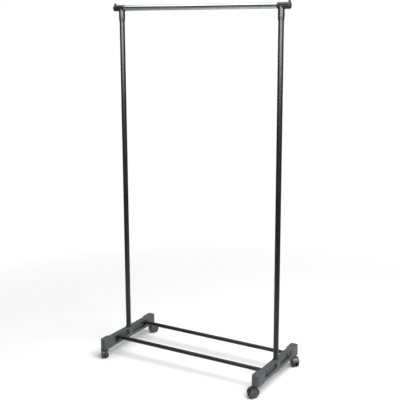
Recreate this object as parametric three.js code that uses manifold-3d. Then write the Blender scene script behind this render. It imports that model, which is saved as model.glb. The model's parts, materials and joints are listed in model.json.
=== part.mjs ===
// A rolling clothes rack used as a valet stand: two moulded feet on twin-wheel casters, two round
// uprights, two lower rails between the feet and one chromed hanging rail across the top.
//
// Millimetres, +Z up. The origin is on the floor below the middle of the stand. X runs along the
// hanging rail, and the front of the stand faces -Y.

import * as THREE from "three";
import { mergeVertices } from "three/addons/utils/BufferGeometryUtils.js";
import Module from "manifold-3d";

// ---------------------------------------------------------------- driving dimensions

const UPRIGHT_SPACING = 838; // between the axes of the two uprights
const HANGING_RAIL_HEIGHT = 1710; // floor to the axis of the hanging rail
const FOOT_LENGTH = 432;
const GAP = 0.3; // left between pieces that touch on the real stand

const UPRIGHT_X = UPRIGHT_SPACING / 2;

// Round tubes: outer radius and wall.
const POLE = { radius: 12.5, wall: 1 };
const HANGING_RAIL = { radius: 12.7, wall: 1.2 };
const LOWER_RAIL = { radius: 9.5, wall: 1.2 };
const TUBE_SIDES = 20;
const FITTING_SIDES = 24; // tees, end caps and collars

// Foot: a beam with a raised block at each end.
const FOOT = {
  bottom: 52.5,
  beamTop: 101,
  blockTop: 105,
  beamHalfWidth: 16,
  blockHalfWidth: 19,
  blockLength: 60,
  rampLength: 18,
  cornerRadius: 9,
  wall: 3,
};
const FOOT_END = FOOT_LENGTH / 2;
const BLOCK_START = FOOT_END - FOOT.blockLength;
const POCKET = { start: 17, end: 138, bottom: 67, top: 97.5, depth: 9 };
const CAVITY_HALF_WIDTH = FOOT.beamHalfWidth - POCKET.depth - FOOT.wall;
const CAVITY_TOP = 93;
const CAVITIES = [[22, 61], [64, 102], [132, 183]]; // stretches along the foot, on each side of its middle
const COLLAR = { radius: 15.8, top: 104.5 };

// Lower rails and how they are held.
const LOWER_RAIL_Y = 117;
const LOWER_RAIL_Z = 90;
const RAIL_PAD_RADIUS = 11;
const SCREW = { radius: 2, headRadius: 4.5, headLength: 3, socketRadius: 1.6, socketDepth: 1.8, sides: 12 };
const SCREW_HOLE_RADIUS = SCREW.radius + 0.6;
const COUNTERBORE = { radius: SCREW.headRadius + 0.7, depth: 4.2, railDepth: 8 };
const RAIL_PLUG = { length: 22, noseRadius: 6.7, noseLength: 5 };
const RAIL_SCREW_LENGTH = 32;

// Uprights and how they are held.
const POLE_BOTTOM = FOOT.bottom + 8.5 + GAP;
const POLE_JOINT = 905; // where the upper pole stands on the lower one
const SPIGOT_LENGTH = 60; // reduced end of the lower pole, inside the upper one
const POLE_PLUG_LENGTH = 26;
const POLE_SCREW_LENGTH = 24;

// Tee fitting and end cap at each end of the hanging rail. Lengths are from the upright's axis.
const TEE = {
  sleeveRadius: 14.8,
  inner: 17,
  outer: 34,
  skirtRadius: 14.8,
  skirtLength: 63, // below the rail's axis
  taperLength: 18,
  mouthRadius: 13.6,
  webLength: 6, // fillet between the sleeve and the skirt
  webHalfWidth: 4,
};
const CAP = { thickness: 8, plugLength: 15, earHeight: 22.5, earWidth: 13, earThickness: 7.8, earTipWidth: 7.6 };

// Casters. The trail is the distance from the stem to the axle, seen from above.
const CASTER_INSET = 15; // from the end of the foot to the stem
const TRAIL = 18;
const WHEEL = { radius: 23, sides: 24, inner: 6.4, outer: 15.7, edge: 2, rimWidth: 4.5, dish: 1.5, hubRadius: 8 };
const HOOD = { radius: 25.4, halfWidth: 16, webHalfWidth: 6, webRadius: 11, bossRadius: 7.5, top: 51 };
const HOOD_COVER = [12, 205]; // degrees round the axle, from the trailing side over the top
const HOOD_WEB = [225, 335]; // degrees, below the axle
const WHEEL_CLEARANCE = 0.8;
const WHEEL_SPACE_SIDES = 28;
const STEM = { radius: 4, bottom: 28, top: 91, collarRadius: 7, sides: 12 };
const STEM_GAP = 0.35;
const SOCKET = { radius: 6, top: 93, sides: 12 };
const AXLE = { radius: 3, halfLength: 12, sides: 12 };

// Each caster stands turned its own way, as freely swivelling casters do when the stand has been
// pushed about. The angle is the direction of the trail, anticlockwise from +X.
const CORNERS = [
  { name: "front_left", x: -1, y: -1, casterTurn: 137 },
  { name: "front_right", x: 1, y: -1, casterTurn: -119 },
  { name: "rear_left", x: -1, y: 1, casterTurn: 61 },
  { name: "rear_right", x: 1, y: 1, casterTurn: -43 },
];

// ---------------------------------------------------------------- materials

function paint(color, roughness, metalness) {
  return new THREE.MeshStandardMaterial({ color, roughness, metalness });
}

const BLACK_ENAMEL = paint(0x1c1d1f, 0.3, 0.4);
const CHROME = paint(0xdfe1e3, 0.1, 1);
const FOOT_PLASTIC = paint(0x3d3f40, 0.6, 0);
const FITTING_PLASTIC = paint(0x1b1b1c, 0.35, 0);
const CASTER_PLASTIC = paint(0x2b2c2d, 0.45, 0);
const ZINC_STEEL = paint(0x9c9fa2, 0.4, 0.9);

// ---------------------------------------------------------------- solids

const wasm = await Module();
wasm.setup();

// A closed geometry with shared vertices merged and triangles without area left out.
function weld(geometry) {
  const bare = geometry.clone();
  bare.deleteAttribute("normal");
  bare.deleteAttribute("uv");
  const merged = mergeVertices(bare);
  const corners = merged.getIndex().array;
  const kept = [];
  for (let i = 0; i < corners.length; i += 3) {
    const [a, b, c] = corners.slice(i, i + 3);
    if (a !== b && b !== c && c !== a) {
      kept.push(a, b, c);
    }
  }
  merged.setIndex(kept);
  return merged;
}

function toSolid(geometry) {
  const welded = weld(geometry);
  const vertProperties = new Float32Array(welded.getAttribute("position").array);
  const triVerts = new Uint32Array(welded.getIndex().array);
  return new wasm.Manifold(new wasm.Mesh({ numProp: 3, vertProperties, triVerts }));
}

function toGeometry(solid) {
  const mesh = solid.getMesh();
  const geometry = new THREE.BufferGeometry();
  geometry.setAttribute("position", new THREE.BufferAttribute(mesh.vertProperties, 3));
  geometry.setIndex(new THREE.BufferAttribute(mesh.triVerts, 1));
  return geometry;
}

// The base geometry joined with every geometry in added, less every geometry in removed.
function shape(base, added, removed) {
  let solid = toSolid(base);
  for (const geometry of added) {
    solid = solid.add(toSolid(geometry));
  }
  for (const geometry of removed) {
    solid = solid.subtract(toSolid(geometry));
  }
  return toGeometry(solid);
}

// A solid turned about Z. The profile is a list of [radius, height], anticlockwise seen with the
// axis on the left, and starts and ends on the axis or closes on itself.
function turned(profile, sides) {
  const points = profile.map(([radius, height]) => new THREE.Vector2(radius, height));
  const geometry = weld(new THREE.LatheGeometry(points, sides, Math.PI / sides));
  return geometry.rotateX(Math.PI / 2);
}

function rod(radius, bottom, top, sides = TUBE_SIDES) {
  return turned([[0, bottom], [radius, bottom], [radius, top], [0, top]], sides);
}

function tube({ radius, wall }, bottom, top) {
  const inner = radius - wall;
  return turned([[inner, bottom], [radius, bottom], [radius, top], [inner, top], [inner, bottom]], TUBE_SIDES);
}

// Lays a solid made along Z over, so that it runs along +X.
function alongX(geometry) {
  return geometry.rotateY(Math.PI / 2);
}

function box(x, y, z) {
  const [width, depth, height] = [x, y, z].map(([low, high]) => high - low);
  const [centreX, centreY, centreZ] = [x, y, z].map(([low, high]) => (low + high) / 2);
  return new THREE.BoxGeometry(width, depth, height).translate(centreX, centreY, centreZ);
}

// An outline drawn in the plane of two axes, extruded along the third from low to high.
function extrude(outline, [low, high], axes) {
  const settings = { depth: high - low, bevelEnabled: false, curveSegments: 6 };
  const geometry = new THREE.ExtrudeGeometry(outline, settings).translate(0, 0, low);
  return geometry.applyMatrix4(new THREE.Matrix4().makeBasis(...axes));
}

const X = new THREE.Vector3(1, 0, 0);
const Y = new THREE.Vector3(0, 1, 0);
const Z = new THREE.Vector3(0, 0, 1);
const PLAN = [X, Y, Z]; // outline in XY, extruded along +Z
const SIDE = [Y, Z, X]; // outline in YZ, extruded along +X
const FRONT = [X, Z, Y.clone().negate()]; // outline in XZ, extruded along -Y

function radians(degrees) {
  return THREE.MathUtils.degToRad(degrees);
}

// ---------------------------------------------------------------- foot

// The foot's outline seen from the side: straight below, with a smooth ramp from the low beam up
// to the block at each end.
function footSideOutline() {
  const rampEnd = BLOCK_START + FOOT.rampLength / 2;
  const rampStart = BLOCK_START - FOOT.rampLength / 2;
  const outline = new THREE.Shape();
  outline.moveTo(-FOOT_END, FOOT.bottom);
  outline.lineTo(FOOT_END, FOOT.bottom);
  outline.lineTo(FOOT_END, FOOT.blockTop);
  outline.lineTo(rampEnd, FOOT.blockTop);
  outline.bezierCurveTo(BLOCK_START, FOOT.blockTop, BLOCK_START, FOOT.beamTop, rampStart, FOOT.beamTop);
  outline.lineTo(-rampStart, FOOT.beamTop);
  outline.bezierCurveTo(-BLOCK_START, FOOT.beamTop, -BLOCK_START, FOOT.blockTop, -rampEnd, FOOT.blockTop);
  outline.lineTo(-FOOT_END, FOOT.blockTop);
  return outline;
}

// The foot's outline seen from above: the blocks are a little wider than the beam, and their
// outer corners are round.
function footPlanOutline() {
  const { beamHalfWidth: beam, blockHalfWidth: block, cornerRadius: corner } = FOOT;
  const neck = BLOCK_START - (block - beam);
  const outline = new THREE.Shape();
  outline.moveTo(beam, -neck);
  outline.lineTo(beam, neck);
  outline.lineTo(block, BLOCK_START);
  outline.absarc(block - corner, FOOT_END - corner, corner, 0, Math.PI / 2);
  outline.absarc(corner - block, FOOT_END - corner, corner, Math.PI / 2, Math.PI);
  outline.lineTo(-block, BLOCK_START);
  outline.lineTo(-beam, neck);
  outline.lineTo(-beam, -neck);
  outline.lineTo(-block, -BLOCK_START);
  outline.absarc(corner - block, corner - FOOT_END, corner, Math.PI, Math.PI * 1.5);
  outline.absarc(block - corner, corner - FOOT_END, corner, Math.PI * 1.5, Math.PI * 2);
  outline.lineTo(block, -BLOCK_START);
  return outline;
}

// A deep pocket in each side face, on each side of the upright. The pad for the lower rail
// stays standing in it.
function sidePockets() {
  const pad = alongX(rod(RAIL_PAD_RADIUS, -FOOT.blockHalfWidth, FOOT.blockHalfWidth));
  const pockets = [];
  for (const along of [-1, 1]) {
    const stretch = [POCKET.start, POCKET.end].map((y) => along * y).sort((a, b) => a - b);
    const railPad = pad.clone().translate(0, along * LOWER_RAIL_Y, LOWER_RAIL_Z);
    for (const face of [-1, 1]) {
      const depth = [FOOT.beamHalfWidth - POCKET.depth, FOOT.beamHalfWidth + 1];
      const across = depth.map((x) => face * x).sort((a, b) => a - b);
      pockets.push(shape(box(across, stretch, [POCKET.bottom, POCKET.top]), [], [railPad]));
    }
  }
  return pockets;
}

// The foot is hollow below, with ribs left between the cavities.
function undersideCavities() {
  const across = [-CAVITY_HALF_WIDTH, CAVITY_HALF_WIDTH];
  const up = [FOOT.bottom - 1, CAVITY_TOP];
  return CAVITIES.flatMap(([near, far]) => [box(across, [near, far], up), box(across, [-far, -near], up)]);
}

// Holes along X for one lower rail: the locating hole in the inner face, the screw's way through
// and its counterbore in the outer face.
function railHoles(y) {
  const inner = -FOOT.beamHalfWidth;
  const outer = FOOT.beamHalfWidth;
  const holes = [
    rod(RAIL_PLUG.noseRadius + GAP, inner - 1, inner + RAIL_PLUG.noseLength + GAP),
    rod(SCREW_HOLE_RADIUS, inner, outer, SCREW.sides),
    rod(COUNTERBORE.radius, outer - COUNTERBORE.railDepth, outer + 1),
  ];
  return holes.map((hole) => alongX(hole).translate(0, y, LOWER_RAIL_Z));
}

function uprightHoles() {
  return [
    rod(POLE.radius + GAP, POLE_BOTTOM - GAP, COLLAR.top + 1),
    rod(SCREW_HOLE_RADIUS, FOOT.bottom, POLE_BOTTOM, SCREW.sides),
    rod(COUNTERBORE.radius, FOOT.bottom - 1, FOOT.bottom + COUNTERBORE.depth),
  ];
}

// The right foot, centred below its upright, with its outer face towards +X. The left foot is the
// same piece turned round.
function footGeometry() {
  const width = [-FOOT.blockHalfWidth - 1, FOOT.blockHalfWidth + 1];
  const side = toSolid(extrude(footSideOutline(), width, SIDE));
  const plan = toSolid(extrude(footPlanOutline(), [FOOT.bottom - 1, FOOT.blockTop + 1], PLAN));
  const body = toGeometry(side.intersect(plan));
  const collar = rod(COLLAR.radius, FOOT.beamTop - 1, COLLAR.top, FITTING_SIDES);
  const casterHole = rod(SOCKET.radius + GAP, FOOT.bottom - 1, SOCKET.top + GAP, SOCKET.sides);
  const casterY = FOOT_END - CASTER_INSET;
  return shape(body, [collar], [
    ...sidePockets(),
    ...undersideCavities(),
    ...railHoles(LOWER_RAIL_Y),
    ...railHoles(-LOWER_RAIL_Y),
    ...uprightHoles(),
    casterHole.clone().translate(0, casterY, 0),
    casterHole.clone().translate(0, -casterY, 0),
  ]);
}

// ---------------------------------------------------------------- uprights, rails, plugs, screws

// The lower pole's top end is reduced to a spigot that the upper pole slides over.
function lowerPoleGeometry() {
  const inner = POLE.radius - POLE.wall;
  const spigot = inner - GAP;
  const spigotInner = spigot - POLE.wall;
  const top = POLE_JOINT + SPIGOT_LENGTH;
  return turned([
    [inner, POLE_BOTTOM],
    [POLE.radius, POLE_BOTTOM],
    [POLE.radius, POLE_JOINT],
    [spigot, POLE_JOINT + POLE.wall],
    [spigot, top],
    [spigotInner, top],
    [spigotInner, POLE_JOINT],
    [inner, POLE_JOINT - POLE.wall],
    [inner, POLE_BOTTOM],
  ], TUBE_SIDES);
}

function upperPoleGeometry() {
  const top = HANGING_RAIL_HEIGHT - TEE.sleeveRadius - GAP;
  return tube(POLE, POLE_JOINT + POLE.wall + GAP, top);
}

function polePlugGeometry() {
  const plug = rod(POLE.radius - POLE.wall - GAP, POLE_BOTTOM, POLE_BOTTOM + POLE_PLUG_LENGTH);
  const hole = rod(SCREW.radius + GAP, POLE_BOTTOM - 1, POLE_BOTTOM + POLE_PLUG_LENGTH + 1, SCREW.sides);
  return shape(plug, [], [hole]);
}

// A pan-head screw along +Z with the underside of its head at height 0 and a hexagonal socket.
function screwGeometry(length) {
  const { radius, headRadius, headLength, socketRadius, socketDepth } = SCREW;
  const screw = turned([
    [0, -headLength],
    [headRadius - 1, -headLength],
    [headRadius, 1 - headLength],
    [headRadius, 0],
    [radius, 0],
    [radius, length - radius],
    [0, length],
  ], SCREW.sides);
  return shape(screw, [], [rod(socketRadius, -headLength - 1, socketDepth - headLength, 6)]);
}

const RAIL_END = UPRIGHT_X - FOOT.beamHalfWidth - GAP;

function lowerRailGeometry() {
  return alongX(tube(LOWER_RAIL, -RAIL_END, RAIL_END));
}

// The plug in the right end of a lower rail: its nose sits in the foot and its bore takes the screw.
function railPlugGeometry() {
  const plug = turned([
    [0, -RAIL_PLUG.length],
    [LOWER_RAIL.radius - LOWER_RAIL.wall - GAP, -RAIL_PLUG.length],
    [LOWER_RAIL.radius - LOWER_RAIL.wall - GAP, 0],
    [RAIL_PLUG.noseRadius, 0],
    [RAIL_PLUG.noseRadius, RAIL_PLUG.noseLength],
    [0, RAIL_PLUG.noseLength],
  ], TUBE_SIDES);
  const hole = rod(SCREW.radius + GAP, -RAIL_PLUG.length - 1, RAIL_PLUG.noseLength + 1, SCREW.sides);
  return alongX(shape(plug, [], [hole]));
}

function hangingRailGeometry() {
  const end = UPRIGHT_X + TEE.outer;
  return alongX(tube(HANGING_RAIL, -end, end));
}

// ---------------------------------------------------------------- tee and end cap

// The right tee: a sleeve round the hanging rail and a skirt down over the upright, with a web
// in the corners between them. Its height 0 is the rail's axis.
function teeGeometry() {
  const { sleeveRadius, skirtRadius, skirtLength, taperLength, mouthRadius, inner, outer } = TEE;
  const { webLength, webHalfWidth } = TEE;
  const sleeve = alongX(rod(sleeveRadius, -inner, outer, FITTING_SIDES));
  const skirt = turned([
    [0, -skirtLength],
    [mouthRadius, -skirtLength],
    [skirtRadius, taperLength - skirtLength],
    [skirtRadius, 0],
    [0, 0],
  ], FITTING_SIDES);
  const web = new THREE.Shape();
  web.moveTo(-inner + 1, 0);
  web.lineTo(-inner + 1, -sleeveRadius + 1);
  web.lineTo(-skirtRadius + 1, -sleeveRadius - webLength);
  web.lineTo(skirtRadius - 1, -sleeveRadius - webLength);
  web.lineTo(skirtRadius + webLength, -sleeveRadius + 1);
  web.lineTo(skirtRadius + webLength, 0);
  const railBore = alongX(rod(HANGING_RAIL.radius + GAP, -inner - 1, outer + 1));
  const poleBore = rod(POLE.radius + GAP, -skirtLength - 1, -sleeveRadius);
  return shape(sleeve, [skirt, extrude(web, [-webHalfWidth, webHalfWidth], FRONT)], [railBore, poleBore]);
}

// The right end cap: a disc that covers the end of the tee, a plug that holds it in the rail and
// a pointed ear on top that stops a hanger from sliding off. It is centred on the rail's axis.
function endCapGeometry() {
  const start = TEE.outer + GAP;
  const end = start + CAP.thickness;
  const disc = turned([
    [0, start],
    [TEE.sleeveRadius, start],
    [TEE.sleeveRadius, end - 1],
    [TEE.sleeveRadius - 1, end],
    [0, end],
  ], FITTING_SIDES);
  const plug = rod(HANGING_RAIL.radius - HANGING_RAIL.wall - GAP, start - CAP.plugLength, start + 1);
  const ear = new THREE.Shape();
  ear.moveTo(-CAP.earWidth / 2, 0);
  ear.lineTo(CAP.earWidth / 2, 0);
  ear.lineTo(CAP.earWidth / 2, TEE.sleeveRadius);
  ear.lineTo(CAP.earTipWidth / 2, CAP.earHeight);
  ear.lineTo(-CAP.earTipWidth / 2, CAP.earHeight);
  ear.lineTo(-CAP.earWidth / 2, TEE.sleeveRadius);
  const middle = (start + end) / 2;
  const thickness = [middle - CAP.earThickness / 2, middle + CAP.earThickness / 2];
  return shape(alongX(disc), [alongX(plug), extrude(ear, thickness, SIDE)], []);
}

// ---------------------------------------------------------------- caster

// The hood: a web between the wheels, a cover over both of them and a boss for the stem. Its
// origin is on the floor below the stem, and the axle is at x = TRAIL.
function hoodGeometry() {
  const outline = new THREE.Shape();
  outline.absarc(0, 0, HOOD.radius, ...HOOD_COVER.map(radians));
  outline.absarc(0, 0, HOOD.webRadius, ...HOOD_WEB.map(radians));
  const body = extrude(outline, [-HOOD.halfWidth, HOOD.halfWidth], FRONT).translate(TRAIL, 0, WHEEL.radius);
  const boss = rod(HOOD.bossRadius, STEM.bottom - 4, HOOD.top);
  const wheelSpace = rod(WHEEL.radius + WHEEL_CLEARANCE, HOOD.webHalfWidth, HOOD.halfWidth + 1, WHEEL_SPACE_SIDES);
  const spaces = [-1, 1].map((side) => {
    const space = wheelSpace.clone().rotateX(-side * Math.PI / 2);
    return space.translate(TRAIL, 0, WHEEL.radius);
  });
  const stemBore = rod(STEM.radius + STEM_GAP, STEM.bottom - GAP, HOOD.top + 1, STEM.sides);
  const axleBore = rod(AXLE.radius + GAP, -HOOD.halfWidth, HOOD.halfWidth, AXLE.sides)
    .rotateX(Math.PI / 2)
    .translate(TRAIL, 0, WHEEL.radius);
  return shape(body, [boss], [...spaces, stemBore, axleBore]);
}

// The stem, with the thin collar that carries the foot.
function stemGeometry() {
  const { radius, bottom, top, collarRadius, sides } = STEM;
  const collarBottom = HOOD.top + GAP;
  const collarTop = FOOT.bottom - GAP;
  return turned([
    [0, bottom],
    [radius, bottom],
    [radius, collarBottom],
    [collarRadius, collarBottom],
    [collarRadius, collarTop],
    [radius, collarTop],
    [radius, top - 1],
    [radius - 1, top],
    [0, top],
  ], sides);
}

// The steel socket that holds the stem in the foot.
function socketGeometry() {
  const inner = STEM.radius + STEM_GAP;
  return turned([
    [inner, FOOT.bottom],
    [SOCKET.radius, FOOT.bottom],
    [SOCKET.radius, SOCKET.top],
    [inner, SOCKET.top],
    [inner, FOOT.bottom],
  ], SOCKET.sides);
}

function axleGeometry() {
  const axle = rod(AXLE.radius, -AXLE.halfLength, AXLE.halfLength, AXLE.sides).rotateX(Math.PI / 2);
  return axle.translate(TRAIL, 0, WHEEL.radius);
}

// One wheel, on the +Y side of the hood for side = -1 and on the other side for side = 1. Its
// facets are flat at the floor, so WHEEL.radius is measured to the flats.
function wheelGeometry(side) {
  const { inner, outer, edge, rimWidth, dish, hubRadius, sides } = WHEEL;
  const tread = WHEEL.radius / Math.cos(Math.PI / sides);
  const bore = AXLE.radius + STEM_GAP;
  const wheel = turned([
    [bore, inner],
    [tread - edge, inner],
    [tread, inner + edge],
    [tread, outer - edge],
    [tread - edge, outer],
    [tread - rimWidth, outer],
    [tread - rimWidth - dish, outer - dish],
    [hubRadius, outer - dish],
    [hubRadius - 1, outer - 0.2],
    [0, outer - 0.2],
    [0, AXLE.halfLength + GAP],
    [bore, AXLE.halfLength + GAP],
    [bore, inner],
  ], sides);
  return wheel.rotateX(side * Math.PI / 2).translate(TRAIL, 0, WHEEL.radius);
}

// ---------------------------------------------------------------- the stand

const stand = new THREE.Group();

function add(parent, name, geometry, material) {
  const mesh = new THREE.Mesh(geometry, material);
  mesh.name = name;
  parent.add(mesh);
  return mesh;
}

function addFeetAndUprights() {
  for (const [name, side] of [["left", -1], ["right", 1]]) {
    const half = new THREE.Group();
    half.position.x = side * UPRIGHT_X;
    half.rotation.z = side > 0 ? 0 : Math.PI;
    stand.add(half);
    add(half, `${name}_foot`, footGeometry(), FOOT_PLASTIC);
    add(half, `${name}_lower_pole`, lowerPoleGeometry(), BLACK_ENAMEL);
    add(half, `${name}_upper_pole`, upperPoleGeometry(), BLACK_ENAMEL);
    add(half, `${name}_tee`, teeGeometry(), FITTING_PLASTIC).position.z = HANGING_RAIL_HEIGHT;
    add(half, `${name}_end_cap`, endCapGeometry(), FITTING_PLASTIC).position.z = HANGING_RAIL_HEIGHT;
    add(half, `${name}_pole_plug`, polePlugGeometry(), FITTING_PLASTIC);
    const poleScrew = add(half, `${name}_pole_screw`, screwGeometry(POLE_SCREW_LENGTH), ZINC_STEEL);
    poleScrew.position.z = FOOT.bottom + COUNTERBORE.depth - GAP;
  }
}

function addRails() {
  add(stand, "hanging_rail", hangingRailGeometry(), CHROME).position.z = HANGING_RAIL_HEIGHT;
  for (const [name, along] of [["front_rail", -1], ["rear_rail", 1]]) {
    add(stand, name, lowerRailGeometry(), BLACK_ENAMEL).position.set(0, along * LOWER_RAIL_Y, LOWER_RAIL_Z);
  }
}

// The plugs in the ends of the lower rails, and the screws that reach them through the feet.
function addRailFixings() {
  const headSeat = UPRIGHT_X + FOOT.beamHalfWidth - COUNTERBORE.railDepth + GAP;
  for (const { name, x, y } of CORNERS) {
    const fixing = new THREE.Group();
    fixing.position.set(0, y * LOWER_RAIL_Y, LOWER_RAIL_Z);
    fixing.rotation.z = x > 0 ? 0 : Math.PI;
    stand.add(fixing);
    add(fixing, `${name}_rail_plug`, railPlugGeometry(), FITTING_PLASTIC).position.x = RAIL_END;
    const screw = add(fixing, `${name}_rail_screw`, screwGeometry(RAIL_SCREW_LENGTH), ZINC_STEEL);
    screw.position.x = headSeat;
    screw.rotation.y = -Math.PI / 2;
  }
}

function addCasters() {
  for (const { name, x, y, casterTurn } of CORNERS) {
    const caster = new THREE.Group();
    caster.position.set(x * UPRIGHT_X, y * (FOOT_END - CASTER_INSET), 0);
    caster.rotation.z = radians(casterTurn);
    stand.add(caster);
    add(caster, `${name}_caster_socket`, socketGeometry(), ZINC_STEEL);
    add(caster, `${name}_caster_stem`, stemGeometry(), ZINC_STEEL);
    add(caster, `${name}_caster_hood`, hoodGeometry(), CASTER_PLASTIC);
    add(caster, `${name}_caster_axle`, axleGeometry(), ZINC_STEEL);
    add(caster, `${name}_caster_left_wheel`, wheelGeometry(-1), CASTER_PLASTIC);
    add(caster, `${name}_caster_right_wheel`, wheelGeometry(1), CASTER_PLASTIC);
  }
}

addFeetAndUprights();
addRails();
addRailFixings();
addCasters();

export default stand;
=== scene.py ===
"""Looks of the rolling clothes rack: smooth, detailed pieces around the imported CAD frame.

Piece outlines are in millimetres in a frame of their own, and a placing matrix puts them in the
row's frame in metres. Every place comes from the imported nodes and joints.
"""

import json
import math

import bmesh
import bpy
import numpy as np
from mathutils import Matrix, Vector


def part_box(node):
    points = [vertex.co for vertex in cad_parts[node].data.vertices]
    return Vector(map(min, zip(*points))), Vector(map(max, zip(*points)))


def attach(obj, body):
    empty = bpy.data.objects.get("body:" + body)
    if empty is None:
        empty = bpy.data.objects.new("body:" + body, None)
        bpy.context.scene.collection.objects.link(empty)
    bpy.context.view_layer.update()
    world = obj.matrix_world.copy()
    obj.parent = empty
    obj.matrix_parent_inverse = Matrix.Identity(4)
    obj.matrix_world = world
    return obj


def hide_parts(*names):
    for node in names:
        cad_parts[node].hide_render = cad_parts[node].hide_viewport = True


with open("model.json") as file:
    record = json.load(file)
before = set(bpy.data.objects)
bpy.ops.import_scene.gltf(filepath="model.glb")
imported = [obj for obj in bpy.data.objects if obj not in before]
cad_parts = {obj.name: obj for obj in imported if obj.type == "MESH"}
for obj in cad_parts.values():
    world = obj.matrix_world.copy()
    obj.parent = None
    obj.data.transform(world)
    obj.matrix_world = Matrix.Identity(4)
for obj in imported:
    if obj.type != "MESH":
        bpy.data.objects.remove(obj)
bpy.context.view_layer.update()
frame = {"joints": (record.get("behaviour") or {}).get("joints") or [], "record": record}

MM = 0.001
ROUND_SIDES = 96
FINE_SIDES = 48
SMOOTH_ANGLE = math.radians(34)

BODIES = frame["record"]["behaviour"]["bodies"]
BODY_OF = {node: body for body, nodes in BODIES.items() for node in nodes}
SLOT_OF = {part["node"]: part["material_slot"] for part in frame["record"]["subparts"]}
JOINTS = {joint["name"]: joint for joint in frame["joints"]}
CORNERS = ["front_left", "front_right", "rear_left", "rear_right"]
SIDES = ["left", "right"]


# ---------------------------------------------------------------- places, from the frame

def centre_mm(node):
    low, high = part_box(node)
    return (low + high) / 2 / MM


def low_mm(node, axis):
    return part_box(node)[0][axis] / MM


def high_mm(node, axis):
    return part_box(node)[1][axis] / MM


def placing(x, y, z, turn=0.0):
    """Millimetres of a piece's own frame, turned about Z, to metres of the row's frame."""
    shift = Matrix.Translation(Vector((x, y, z)) * MM)
    return shift @ Matrix.Rotation(turn, 4, "Z") @ Matrix.Scale(MM, 4)


def side_placing(side, height):
    """The frame of the left or right half of the stand: on its upright, +X away from the middle."""
    pole = centre_mm(f"{side}_lower_pole")
    return placing(pole.x, pole.y, height, 0.0 if side == "right" else math.pi)


def trail_of(corner):
    """From a caster's stem to its axle, seen from above, in millimetres."""
    stem = Vector(JOINTS[f"{corner}_caster_swivel"]["pos_m"])
    axle = Vector(JOINTS[f"{corner}_left_wheel_spin"]["pos_m"])
    return (axle - stem).xy / MM


def caster_placing(corner):
    """A caster's frame: on the floor below its stem, +X towards the axle."""
    stem = Vector(JOINTS[f"{corner}_caster_swivel"]["pos_m"]) / MM
    trail = trail_of(corner)
    return placing(stem.x, stem.y, 0, math.atan2(trail.y, trail.x))


Z_UP = Matrix.Identity(4)
X_UP = Matrix.Rotation(math.pi / 2, 4, "Y")  # lays +Z over to +X
Y_UP = Matrix.Rotation(-math.pi / 2, 4, "X")  # lays +Z over to +Y


# ---------------------------------------------------------------- mesh building

def make_object(name, vertices, faces, matrix=Z_UP):
    mesh = bpy.data.meshes.new(name)
    mesh.from_pydata([tuple(v) for v in vertices], [], faces)
    mesh.transform(matrix)
    work = bmesh.new()
    work.from_mesh(mesh)
    bmesh.ops.remove_doubles(work, verts=work.verts, dist=1e-7)
    bmesh.ops.recalc_face_normals(work, faces=work.faces)
    work.to_mesh(mesh)
    work.free()
    piece = bpy.data.objects.new(name, mesh)
    bpy.context.scene.collection.objects.link(piece)
    return piece


def arc(radius, first, last, steps):
    """Points on a circle round the origin, between two angles in degrees."""
    angles = np.radians(np.linspace(first, last, steps))
    return [(radius * math.cos(angle), radius * math.sin(angle)) for angle in angles]


def rounded(corners, steps=5):
    """A polyline with its corners rounded: each corner is (a, b) or (a, b, fillet radius)."""
    points = []
    for i, corner in enumerate(corners):
        here = Vector(corner[:2])
        radius = corner[2] if len(corner) > 2 else 0
        if not radius or i in (0, len(corners) - 1):
            points.append(here)
            continue
        back = (Vector(corners[i - 1][:2]) - here).normalized()
        ahead = (Vector(corners[i + 1][:2]) - here).normalized()
        half = back.angle(ahead) / 2
        centre = here + (back + ahead).normalized() * radius / math.sin(half)
        start = here + back * radius / math.tan(half) - centre
        turn = start.angle_signed(here + ahead * radius / math.tan(half) - centre)
        for k in range(steps + 1):
            points.append(centre + Matrix.Rotation(-turn * k / steps, 2) @ start)
    return points


def revolve(name, profile, matrix=Z_UP, sides=ROUND_SIDES):
    """A solid turned about +Z. The profile holds (radius, height) and ends on the axis or closes."""
    vertices, rings, faces = [], [], []
    for radius, height in profile:
        if radius < 1e-6:
            rings.append([len(vertices)] * sides)
            vertices.append((0, 0, height))
            continue
        rings.append(range(len(vertices), len(vertices) + sides))
        for k in range(sides):
            angle = 2 * math.pi * k / sides
            vertices.append((radius * math.cos(angle), radius * math.sin(angle), height))
    for lower, upper in zip(rings, rings[1:]):
        for k in range(sides):
            following = (k + 1) % sides
            corners = (lower[k], lower[following], upper[following], upper[k])
            face = tuple(dict.fromkeys(corners))
            if len(face) > 2:
                faces.append(face)
    return make_object(name, vertices, faces, matrix)


def ring_profile(inner, outer, bottom, top, fillet):
    """A tube wall with rounded ends, closed on itself."""
    middle = (inner + outer) / 2
    return rounded([
        (middle, bottom), (outer, bottom, fillet), (outer, top, fillet),
        (inner, top, fillet), (inner, bottom, fillet), (middle, bottom),
    ], steps=3)


def rod_profile(radius, bottom, top, fillet):
    return rounded([(0, bottom), (radius, bottom, fillet), (radius, top, fillet), (0, top)], steps=3)


def loft(name, loops, matrix=Z_UP):
    """A closed skin through loops that have the same number of points, with an end on each side."""
    count = len(loops[0])
    vertices = [point for loop in loops for point in loop]
    faces = [tuple(range(count)), tuple(range(len(vertices) - 1, len(vertices) - count - 1, -1))]
    for here in range(0, len(vertices) - count, count):
        there = here + count
        for k in range(count):
            following = (k + 1) % count
            faces.append((here + k, here + following, there + following, there + k))
    return make_object(name, vertices, faces, matrix)


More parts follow.
